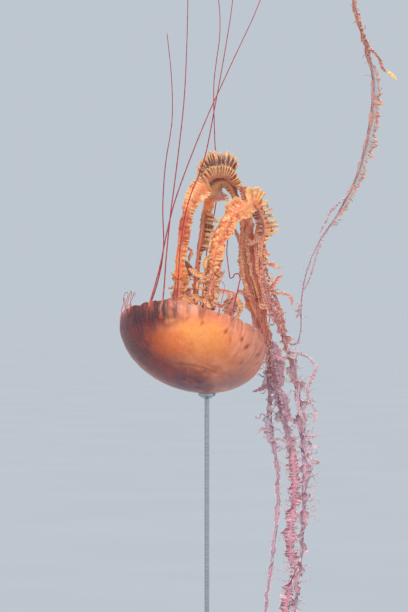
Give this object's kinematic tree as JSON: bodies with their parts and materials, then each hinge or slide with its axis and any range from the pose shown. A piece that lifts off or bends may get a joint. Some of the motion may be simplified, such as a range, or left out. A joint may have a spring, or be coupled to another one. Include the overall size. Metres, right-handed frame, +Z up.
{
  "type": "sea nettle jellyfish model",
  "caption": "Life-size sea nettle jellyfish swimming crown down: tilted domed bell, frilled oral arms folded over and trailing, thin tentacles streaming up, on a flat base with slim rods.",
  "frame": {"origin": "centre of the underside of the stand's base", "axes": "+Z up, the direction in which the tentacles stream; +X to the right of someone who looks at the front; the front is -Y"},
  "size_m": [0.4697, 0.2709, 1.3053],
  "materials": {
    "bell": "moist translucent flesh, orange heart paling to peach-pink",
    "margin": "moist translucent flesh, dusky pink with dark red dashes",
    "arms": "moist frilled cream and peach flesh, pinkish grey towards the tips",
    "tentacles": "moist dark red",
    "stand_base": "charcoal satin lacquer",
    "stand_rods": "finely brushed"
  },
  "bodies": {
    "root": {"bell_dome": "bell", "bell_margin": "margin", "manubrium": "arms", "oral_arm_a_1": "arms", "oral_arm_a_2": "arms", "oral_arm_a_3": "arms", "oral_arm_a_4": "arms", "oral_arm_a_5": "arms", "oral_arm_b_1": "arms", "oral_arm_b_2": "arms", "oral_arm_b_3": "arms", "oral_arm_b_4": "arms", "oral_arm_b_5": "arms", "oral_arm_c_1": "arms", "oral_arm_c_2": "arms", "oral_arm_c_3": "arms", "oral_arm_c_4": "arms", "oral_arm_c_5": "arms", "oral_arm_d_1": "arms", "oral_arm_d_2": "arms", "oral_arm_d_3": "arms", "oral_arm_d_4": "arms", "oral_arm_d_5": "arms", "stand_base": "stand_base", "stand_rod_arms": "stand_rods", "stand_rod_bell": "stand_rods", "tentacle_01_1": "tentacles", "tentacle_01_2": "tentacles", "tentacle_02_1": "tentacles", "tentacle_02_2": "tentacles", "tentacle_03_1": "tentacles", "tentacle_03_2": "tentacles", "tentacle_04": "tentacles", "tentacle_05": "tentacles", "tentacle_06": "tentacles", "tentacle_07": "tentacles", "tentacle_08": "tentacles", "tentacle_09": "tentacles", "tentacle_10": "tentacles", "tentacle_11": "tentacles", "tentacle_12": "tentacles", "tentacle_13": "tentacles", "tentacle_14": "tentacles", "tentacle_15": "tentacles", "tentacle_16_1": "tentacles", "tentacle_16_2": "tentacles", "tentacle_17": "tentacles", "tentacle_18": "tentacles", "tentacle_19_1": "tentacles", "tentacle_19_2": "tentacles", "tentacle_20": "tentacles", "tentacle_21": "tentacles", "tentacle_22": "tentacles", "tentacle_23": "tentacles", "tentacle_24": "tentacles"}
  },
  "joints": []
}
